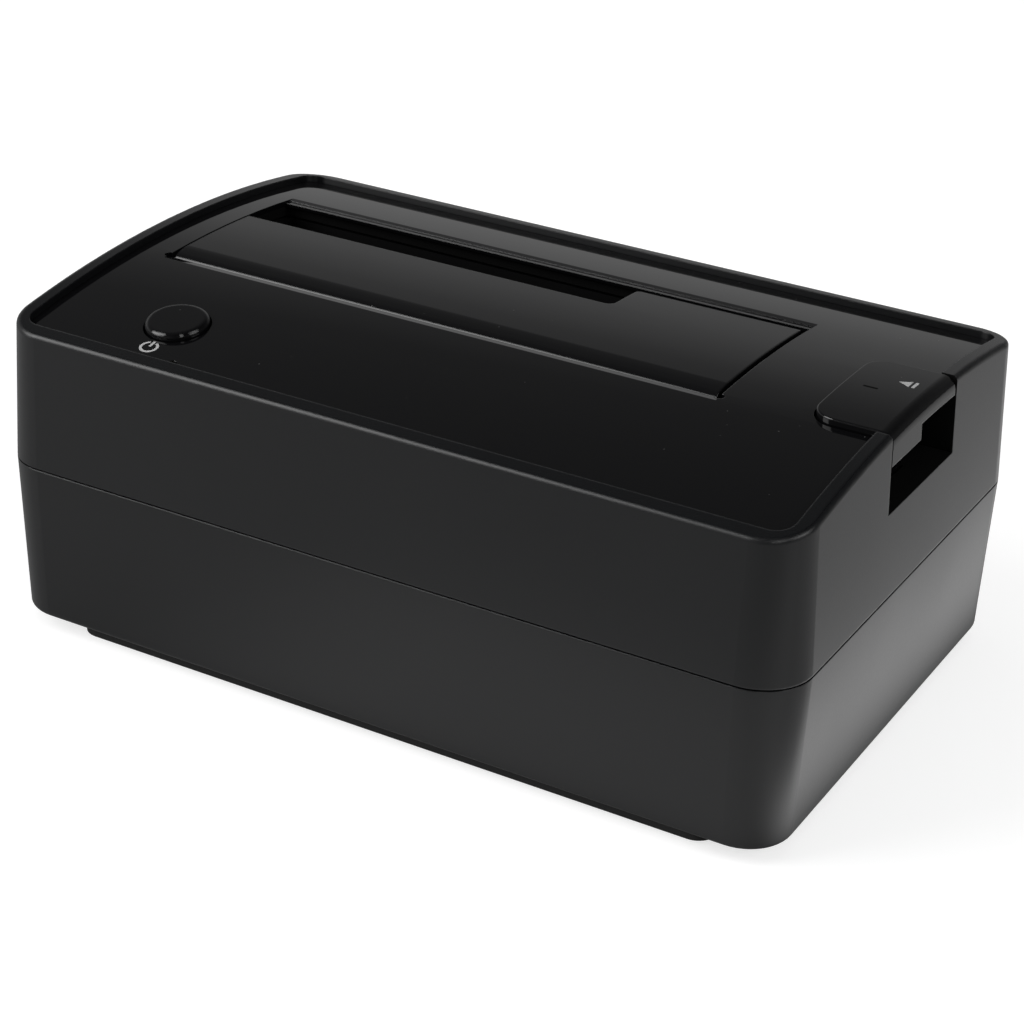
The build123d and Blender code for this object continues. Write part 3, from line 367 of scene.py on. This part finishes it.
FINISHES = {
    "lower_satin": casing_satin("lower_satin", False),
    "upper_satin": casing_satin("upper_satin", True),
    "panel_gloss": piano_black("panel_gloss", 0.035, PANEL_ROUNDING),
    "flap_gloss": piano_black("flap_gloss", 0.045, FLAP_ROUNDING),
    "button_gloss": piano_black("button_gloss", 0.06, BUTTON_ROUNDING),
    # The tab's groove is painted shade
    "tab_gloss": piano_black("tab_gloss", 0.09, TAB_ROUNDING, along_dash),
    # The liner is black plastic, made darker and less shiny than it is as painted shade in the
    # slot
    "liner_black_and_shade": moulded("liner_black_and_shade", (0.0015, 0.0015, 0.0016), 0.75, 1400.0, 0.0, 0.1),
    "base_black": moulded("base_black", (0.006, 0.006, 0.006), 0.6),
    "connector_nylon": moulded("connector_nylon", (0.010, 0.010, 0.011), 0.42, 2200.0),
    "rocker_acetal": moulded("rocker_acetal", (0.55, 0.54, 0.51), 0.4, 900.0),
    "chip_epoxy": moulded("chip_epoxy", (0.016, 0.016, 0.017), 0.5, 3000.0),
    "pin_steel": plain_steel("pin_steel", (0.46, 0.46, 0.47), 0.28, (0.05, 1.0, 1.0)),
    "ballast_steel": plain_steel("ballast_steel", (0.34, 0.35, 0.36), 0.42, (0.05, 1.0, 1.0)),
    "spring_steel": plain_steel("spring_steel", (0.42, 0.42, 0.43), 0.3),
    "screw_zinc": plain_steel("screw_zinc", (0.38, 0.38, 0.40), 0.34),
    "port_plating": plain_steel("port_plating", (0.52, 0.52, 0.52), 0.25, (1.0, 0.05, 1.0)),
    "board_lacquer": lacquered_board("board_lacquer"),
    "foot_rubber": foot_rubber("foot_rubber"),
    "contact_gold": plain_steel("contact_gold", (0.72, 0.52, 0.20), 0.26, (1.0, 1.0, 0.1)),
    # Light grey: real print on the power sign, painted glint on the eject sign
    "print_and_painted_glint": moulded("print_and_painted_glint", (0.34, 0.34, 0.34), 0.5, 5000.0),
    "light_guide": smoked_clear("light_guide", (0.05, 0.05, 0.03)),
    "light_lens": smoked_clear("light_lens", (0.45, 0.45, 0.36)),
}
NODE_FINISH = {
    "lower_casing": "lower_satin", "upper_casing": "upper_satin", "top_panel": "panel_gloss",
    "bay_liner": "liner_black_and_shade", "slot_flap": "flap_gloss", "flap_hinge_pin": "pin_steel",
    "flap_spring": "spring_steel", "power_button": "button_gloss",
    "button_spring": "spring_steel", "button_board": "board_lacquer",
    "tact_switch": "connector_nylon", "status_led": "light_lens", "light_pipe": "light_guide",
    "eject_button": "tab_gloss", "eject_spring": "spring_steel",
    "eject_rocker": "rocker_acetal", "rocker_pin": "pin_steel", "main_board": "board_lacquer",
    "bridge_chip": "chip_epoxy", "drive_connector": "connector_nylon",
    "host_port": "port_plating", "power_jack": "connector_nylon",
    "ballast_plate": "ballast_steel", "base_plate": "base_black",
    "rubber_feet": "foot_rubber", "casing_screws": "screw_zinc", "board_screws": "screw_zinc",
    "liner_screws": "screw_zinc", "button_board_screws": "screw_zinc",
}
for node_name, finish_name in NODE_FINISH.items():
    materials = nodes[node_name].data.materials
    materials.clear()
    materials.append(FINISHES[finish_name].material)


# Camera, as the photograph was taken

CAMERA_PLACE = Vector((188.58, -338.15, 219.20)) * MM
CAMERA_AIM = Vector((1.11, -0.67, 21.95)) * MM
CAMERA_ROLL = 2.018
CAMERA_LENS = 90.6


def photograph_camera():
    data = bpy.data.cameras.new("photograph_camera")
    data.lens = CAMERA_LENS
    data.sensor_width = 36.0
    data.clip_start = 0.01
    camera = bpy.data.objects.new("photograph_camera", data)
    bpy.context.scene.collection.objects.link(camera)
    turn = (CAMERA_AIM - CAMERA_PLACE).to_track_quat("-Z", "Y").to_matrix()
    camera.matrix_world = (
        Matrix.Translation(CAMERA_PLACE)
        @ turn.to_4x4()
        @ Matrix.Rotation(math.radians(CAMERA_ROLL), 4, "Z"))
    bpy.context.scene.camera = camera


photograph_camera()


# Floor, world and lamps

# Patches of painted light on the floor, seen only in the glossy sides: an edge and its softness,
# in metres
BESIDE_X, BESIDE_Y, BESIDE_DIMS_X = (0.076, 0.006), (-0.045, 0.012), (0.089, 0.008)
AHEAD_Y, AHEAD_DIMS_Y, AHEAD_X = (-0.048, 0.004), (-0.097, 0.012), (-0.035, 0.03)

# How bright the painted light glows there, and how bright the floor glows towards the camera
BESIDE_GLOW, BESIDE_LOSS = 1.65, 1.5
AHEAD_GLOW = 0.28
CAMERA_GLOW = 0.73

FLOOR_SIZE = 6.0
FLOOR_SHADE = (0.43, 0.43, 0.43)


def pale_floor():
    bpy.ops.object.select_all(action="DESELECT")
    bpy.ops.mesh.primitive_plane_add(size=FLOOR_SIZE, location=(0.0, 0.0, 0.0))
    floor = bpy.context.object
    floor.name = "pale_floor"
    finish = Finish("pale_floor", FLOOR_SHADE, 0.7, Specular_IOR_Level=0.1)
    x, y = finish.along("X"), finish.along("Y")
    beside = x.above(*BESIDE_X) * y.above(*BESIDE_Y)
    right_painted_light = beside * (BESIDE_GLOW - BESIDE_LOSS * x.above(*BESIDE_DIMS_X))
    ahead = 1.0 - y.above(*AHEAD_Y)
    nearer = y.above(*AHEAD_DIMS_Y) * x.above(*AHEAD_X)
    front_painted_light = ahead * nearer * AHEAD_GLOW
    # Camera rays see the floor evenly whitened; glossy rays also see painted light beside and
    # ahead of the dock, which no lamp casts
    finish.set("Emission Color", (1.0, 1.0, 1.0, 1.0))
    finish.set("Emission Strength", finish.seen_by("Is Camera Ray") * CAMERA_GLOW
               + finish.seen_by("Is Glossy Ray") * (right_painted_light + front_painted_light))
    floor.data.materials.append(finish.material)


# Sky's level by the height of the direction, and how it rises towards the left
SKY_BY_HEIGHT = (
    (0.0, 0.37), (0.14, 0.37), (0.225, 0.34), (0.30, 0.315), (0.375, 0.25),
    (0.407, 0.21), (0.469, 0.14), (0.53, 0.10), (0.707, 0.09), (1.0, 0.09))
SKY_MIDDLE, SKY_TILT, SKY_LEAST, SKY_MOST = 0.55, 0.87, 0.22, 1.1


def studio_world():
    world = bpy.data.worlds.new("studio_world")
    bpy.context.scene.world = world
    world.use_nodes = True
    world.node_tree.nodes.clear()
    sky = Shading(world.node_tree, "Generated")
    stops = [(height, (level, level, level)) for height, level in SKY_BY_HEIGHT]
    level = sky.node("ShaderNodeValToRGB", {"stops": stops}, {0: sky.along("Z")})
    tilted = SKY_MIDDLE - SKY_TILT * sky.along("X")
    leftward = tilted.at_least(SKY_LEAST).at_most(SKY_MOST)
    dim = sky.node("ShaderNodeBackground", {}, {"Color": level, "Strength": leftward})
    white = sky.node("ShaderNodeBackground", {}, {"Color": (1.0, 1.0, 1.0, 1.0)})
    both = sky.mix_shaders(sky.seen_by("Is Camera Ray"), dim, white)
    sky.node("ShaderNodeOutputWorld", {}, {"Surface": both})


# Name, azimuth, elevation, distance, size, brightness and whether gloss mirrors the lamp
LAMPS = (
    ("left_softbox", -50.0, 38.0, 1.3, (0.84, 1.05), 5.2, True),
    ("front_softbox", 41.0, 38.0, 1.3, (0.22, 0.8), 4.0, True),
    ("right_softbox", 90.0, 36.0, 1.3, (0.8, 0.6), 3.5, True),
    ("top_fill", 0.0, 89.0, 1.6, (1.8, 1.8), 1.0, False),
)


def soft_lamp(name, azimuth, elevation, distance, size, brightness, mirrored):
    """Softbox that faces the dock; azimuth runs from the front towards the right."""
    data = bpy.data.lights.new(name, "AREA")
    data.shape = "ELLIPSE"
    data.size, data.size_y = size
    data.energy = brightness * math.pi * math.pi * size[0] * size[1] / 4
    lamp = bpy.data.objects.new(name, data)
    turn, lift = math.radians(azimuth), math.radians(elevation)
    lamp.location = distance * Vector(
        (math.sin(turn) * math.cos(lift), -math.cos(turn) * math.cos(lift), math.sin(lift)))
    lamp.rotation_mode = "QUATERNION"
    lamp.rotation_quaternion = (-lamp.location).to_track_quat("-Z", "Y")
    lamp.visible_glossy = mirrored
    bpy.context.scene.collection.objects.link(lamp)


pale_floor()
studio_world()
for lamp_values in LAMPS:
    soft_lamp(*lamp_values)


# Hand modelling

def start_piece():
    if bpy.context.object and bpy.context.object.mode == "EDIT":
        bpy.ops.object.mode_set(mode="OBJECT")
    bpy.ops.object.select_all(action="DESELECT")


def edit(piece):
    bpy.context.view_layer.objects.active = piece
    bpy.ops.object.mode_set(mode="EDIT")


def pick(kind, wanted):
    """Selects the faces or points that a test on their middle and normal names."""
    bpy.ops.mesh.select_mode(type=kind)
    mesh = bmesh.from_edit_mesh(bpy.context.object.data)
    for bit in (*mesh.verts, *mesh.edges, *mesh.faces):
        bit.select = False
    if kind == "FACE":
        for face in mesh.faces:
            if wanted(face.calc_center_median(), face.normal):
                face.select_set(True)
    else:
        for vert in mesh.verts:
            if wanted(vert.co, vert.normal):
                vert.select_set(True)
    mesh.select_flush_mode()
    bmesh.update_edit_mesh(bpy.context.object.data)


def raise_faces(height):
    bpy.ops.mesh.extrude_region_move(
        TRANSFORM_OT_translate={"value": (0.0, 0.0, height), "orient_type": "GLOBAL"})


def finish_piece(piece, name, finish_name, body):
    """Names a piece, gives it its finish and lets it ride on its body."""
    if bpy.context.object.mode == "EDIT":
        bpy.ops.object.mode_set(mode="OBJECT")
    bpy.ops.object.select_all(action="DESELECT")
    piece.select_set(True)
    bpy.context.view_layer.objects.active = piece
    bpy.ops.object.transform_apply(location=True, rotation=True, scale=True)
    piece.name = name
    piece.data.name = name
    piece.data.materials.clear()
    piece.data.materials.append(FINISHES[finish_name].material)
    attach(piece, body)
    return piece


def join(copies):
    """Makes one piece of several."""
    bpy.ops.object.select_all(action="DESELECT")
    for copy in copies:
        copy.select_set(True)
    bpy.context.view_layer.objects.active = copies[0]
    bpy.ops.object.join()
    return copies[0]


def copy_to(model, places):
    """Copies a model, each copy with its own mesh, to several places and joins them."""
    copies = []
    for place in places:
        copy = model.copy()
        copy.data = model.data.copy()
        copy.location = model.location + Vector(place) * MM
        bpy.context.scene.collection.objects.link(copy)
        copies.append(copy)
    bpy.data.objects.remove(model)
    joined = join(copies)
    bpy.ops.object.transform_apply(location=True, rotation=True, scale=True)
    return joined


def crown_level(y, drop):
    radius = CROWN_RADIUS - drop
    return CROWN_TOP - CROWN_RADIUS + math.sqrt(radius ** 2 - (y - CROWN_MIDDLE) ** 2)


def lay_on_crown(piece, x, y, drop, turn=0.0):
    """Turns a flat mark, tilts it to the crowned surface and sets it down there."""
    slope = math.asin((CROWN_MIDDLE - y) / (CROWN_RADIUS - drop))
    piece.matrix_world = (
        Matrix.Translation(Vector((x, y, crown_level(y, drop))) * MM)
        @ Matrix.Rotation(slope, 4, "X")
        @ Matrix.Rotation(math.radians(turn), 4, "Z"))


# Marks, in millimetres: a printed power sign, and an eject sign whose light grey is a painted
# glint

MARK_HEIGHT = 0.03
MARK_SUNK = 0.012
POWER_MARK_PLACE = (-45.2, -38.0)
POWER_RADIUS = 1.6
POWER_INNER_SHARE = 0.72
POWER_GAP_HALF = 0.58
POWER_STROKE = (0.43, 1.5)
POWER_STROKE_Y = 0.9
EJECT_MARK_PLACE = (65.2, 7.2)
EJECT_TURN = 90.0
EJECT_RADIUS = 1.3
EJECT_TRIANGLE_Y = 0.35
EJECT_BAR = (2.25, 0.5)
EJECT_BAR_Y = -1.0


def add_bar(size, y):
    """Flat bar across a mark, in the mark's own mesh."""
    bpy.ops.mesh.primitive_plane_add(size=1.0 * MM, location=(0.0, y * MM, -MARK_SUNK * MM))
    bpy.ops.transform.resize(value=(*size, 1.0))


def raise_mark():
    """Gives a flat mark its height and turns its faces outward."""
    bpy.ops.mesh.select_all(action="SELECT")
    bpy.ops.mesh.normals_make_consistent(inside=False)
    raise_faces(MARK_HEIGHT * MM)
    bpy.ops.mesh.select_all(action="SELECT")
    bpy.ops.mesh.normals_make_consistent(inside=False)
    bpy.ops.object.mode_set(mode="OBJECT")


def power_mark():
    """Printed ring with a gap and a stroke, beside the power button."""
    start_piece()
    bpy.ops.mesh.primitive_circle_add(
        vertices=72, radius=POWER_RADIUS * MM, location=(0.0, 0.0, -MARK_SUNK * MM))
    mark = bpy.context.object
    edit(mark)
    bpy.ops.mesh.select_all(action="SELECT")
    bpy.ops.mesh.extrude_region_move()
    bpy.ops.transform.resize(value=(POWER_INNER_SHARE, POWER_INNER_SHARE, 1.0))
    pick("FACE", lambda middle, normal:
         abs(middle.x) < POWER_GAP_HALF * MM and middle.y > 0.0)
    bpy.ops.mesh.delete(type="FACE")
    add_bar(POWER_STROKE, POWER_STROKE_Y)
    raise_mark()
    lay_on_crown(mark, *POWER_MARK_PLACE, PANEL_DROP)
    finish_piece(mark, "power_mark", "print_and_painted_glint", "casing")


def eject_mark():
    """Raised eject sign on the tab: a triangle over a bar, light grey as a painted glint of
    embossed marks.
    """
    start_piece()
    bpy.ops.mesh.primitive_circle_add(
        vertices=3, radius=EJECT_RADIUS * MM, fill_type="NGON",
        location=(0.0, EJECT_TRIANGLE_Y * MM, -MARK_SUNK * MM))
    mark = bpy.context.object
    edit(mark)
    add_bar(EJECT_BAR, EJECT_BAR_Y)
    raise_mark()
    lay_on_crown(mark, *EJECT_MARK_PLACE, 0.0, EJECT_TURN)
    finish_piece(mark, "eject_mark", "print_and_painted_glint", "eject_key")


# Contacts, in millimetres

DRIVE_BLADE = (0.62, 0.2, 4.2)
DRIVE_BLADE_PLACE = (0.0, 21.19, 17.7)
DRIVE_BEND = (-0.12, 0.45)
DRIVE_TIP = (0.16, 0.5)
DRIVE_TIP_SHARES = (0.55, 0.8)
DRIVE_PITCH = 1.27
DRIVE_ROWS = ((-39.5, 15), (-21.4, 7))
DRIVE_EDGE = 0.04
PORT_BLADE = (0.75, 5.6, 0.16)
PORT_BLADE_PLACE = (0.0, 40.2, 18.24)
PORT_TIP = 0.5
PORT_TIP_SHARES = (0.7, 0.5)
PORT_MIDDLE_X = -12.0
PORT_PITCH = 1.25
PORT_DROP = -3.28
PORT_EDGE = 0.035
LEAF = (0.18, 6.6, 1.7)
LEAF_PLACE = (9.13, 39.4, 16.6)
LEAF_REACHES = (2.2, 1.5, 0.8)
LEAF_STEP = 0.16
LEAF_EDGE = 0.05


def blade(size, place):
    """Flat bar at its size and place, as a start for the plated contacts."""
    start_piece()
    bpy.ops.mesh.primitive_cube_add(
        size=MM, location=Vector(place) * MM, scale=size)
    made = bpy.context.object
    bpy.ops.object.transform_apply(location=False, rotation=False, scale=True)
    return made


def round_edges(width):
    """Rounds all edges of the piece in edit mode and leaves the mode."""
    bpy.ops.mesh.select_all(action="SELECT")
    bpy.ops.mesh.bevel(offset=width * MM, segments=2)
    bpy.ops.object.mode_set(mode="OBJECT")


def extend(y, z):
    bpy.ops.mesh.extrude_region_move(
        TRANSFORM_OT_translate={"value": (0.0, y * MM, z * MM)})


def drive_contacts():
    """Two rows of gold blades against the back wall of the drive connector's slots."""
    model = blade(DRIVE_BLADE, DRIVE_BLADE_PLACE)
    edit(model)
    pick("FACE", lambda middle, normal: normal.z > 0.5)
    extend(*DRIVE_BEND)
    extend(*DRIVE_TIP)
    bpy.ops.transform.resize(value=(*DRIVE_TIP_SHARES, 1.0))
    round_edges(DRIVE_EDGE)
    places = [(middle + DRIVE_PITCH * (step - count // 2), 0.0, 0.0)
              for middle, count in DRIVE_ROWS for step in range(count)]
    rows = copy_to(model, places)
    finish_piece(rows, "drive_contacts", "contact_gold", "casing")


def port_contacts():
    """Contacts above and below the tongue of the computer port."""
    model = blade(PORT_BLADE, PORT_BLADE_PLACE)
    edit(model)
    pick("FACE", lambda middle, normal: normal.y > 0.5)
    extend(PORT_TIP, 0.0)
    wide, high = PORT_TIP_SHARES
    bpy.ops.transform.resize(value=(wide, 1.0, high))
    round_edges(PORT_EDGE)
    places = [(PORT_MIDDLE_X + PORT_PITCH * (step - 1.5), 0.0, drop)
              for step in range(4) for drop in (0.0, PORT_DROP)]
    rows = copy_to(model, places)
    finish_piece(rows, "port_contacts", "contact_gold", "casing")


def jack_contact():
    """Sprung leaf in the bore of the power inlet."""
    leaf = blade(LEAF, LEAF_PLACE)
    edit(leaf)
    bpy.ops.mesh.select_all(action="SELECT")
    bpy.ops.mesh.subdivide(number_cuts=7)
    for reach in LEAF_REACHES:
        pick("VERT", lambda place, normal: abs(place.y) < reach * MM)
        bpy.ops.transform.translate(value=(LEAF_STEP * MM, 0.0, 0.0))
    bpy.ops.object.mode_set(mode="OBJECT")
    bpy.ops.object.modifier_add(type="BEVEL")
    rounding = leaf.modifiers[-1]
    rounding.width = LEAF_EDGE * MM
    rounding.segments = 2
    rounding.limit_method = "ANGLE"
    bpy.ops.object.modifier_apply(modifier=rounding.name)
    bpy.ops.object.shade_smooth_by_angle(angle=math.radians(35.0))
    finish_piece(leaf, "jack_contact", "port_plating", "casing")


# Springs: name, node, place, ends, outer radius, wire, turns, joint and its travel

SPRINGS = (
    ("eject_coil", "eject_spring", (63.5445, 10.5), (12.0, 30.0), 3.1, 0.7, 7,
     "eject_press", 7.0),
    ("button_coil", "button_spring", (-45.1, -30.5), (41.153, 50.253), 5.4, 0.8, 4,
     "power_press", 0.9),
)


def coil_spring(name, node, place, ends, outer_radius, wire, turns, joint, travel):
    """Wire spring wound between its two ends, at its full length."""
    low, high = ends
    start_piece()
    bpy.ops.mesh.primitive_circle_add(
        vertices=10, radius=wire / 2 * MM, rotation=(math.pi / 2, 0.0, 0.0),
        location=((outer_radius - wire / 2) * MM, 0.0, (low + wire / 2) * MM))
    spring = bpy.context.object
    bpy.ops.object.transform_apply(location=True, rotation=True, scale=True)
    bpy.ops.object.modifier_add(type="SCREW")
    winding = spring.modifiers[-1]
    winding.axis = "Z"
    winding.steps = winding.render_steps = 28
    winding.iterations = turns
    winding.screw_offset = (high - low - wire) / turns * MM
    bpy.ops.object.modifier_apply(modifier=winding.name)
    edit(spring)
    bpy.ops.mesh.select_all(action="SELECT")
    bpy.ops.mesh.fill_holes(sides=0)
    bpy.ops.mesh.select_all(action="SELECT")
    bpy.ops.mesh.normals_make_consistent(inside=False)
    bpy.ops.object.mode_set(mode="OBJECT")
    spring.location = Vector((*place, 0.0)) * MM
    bpy.ops.object.shade_smooth_by_angle(angle=math.radians(50.0))
    finish_piece(spring, name, "spring_steel", "casing")
    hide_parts(node)
    (high - low - travel) / (high - low)
    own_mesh(spring)


power_mark()
eject_mark()
drive_contacts()
port_contacts()
jack_contact()
for spring_values in SPRINGS:
    coil_spring(*spring_values)

scene_view = bpy.context.scene.view_settings
scene_view.view_transform = "Standard"
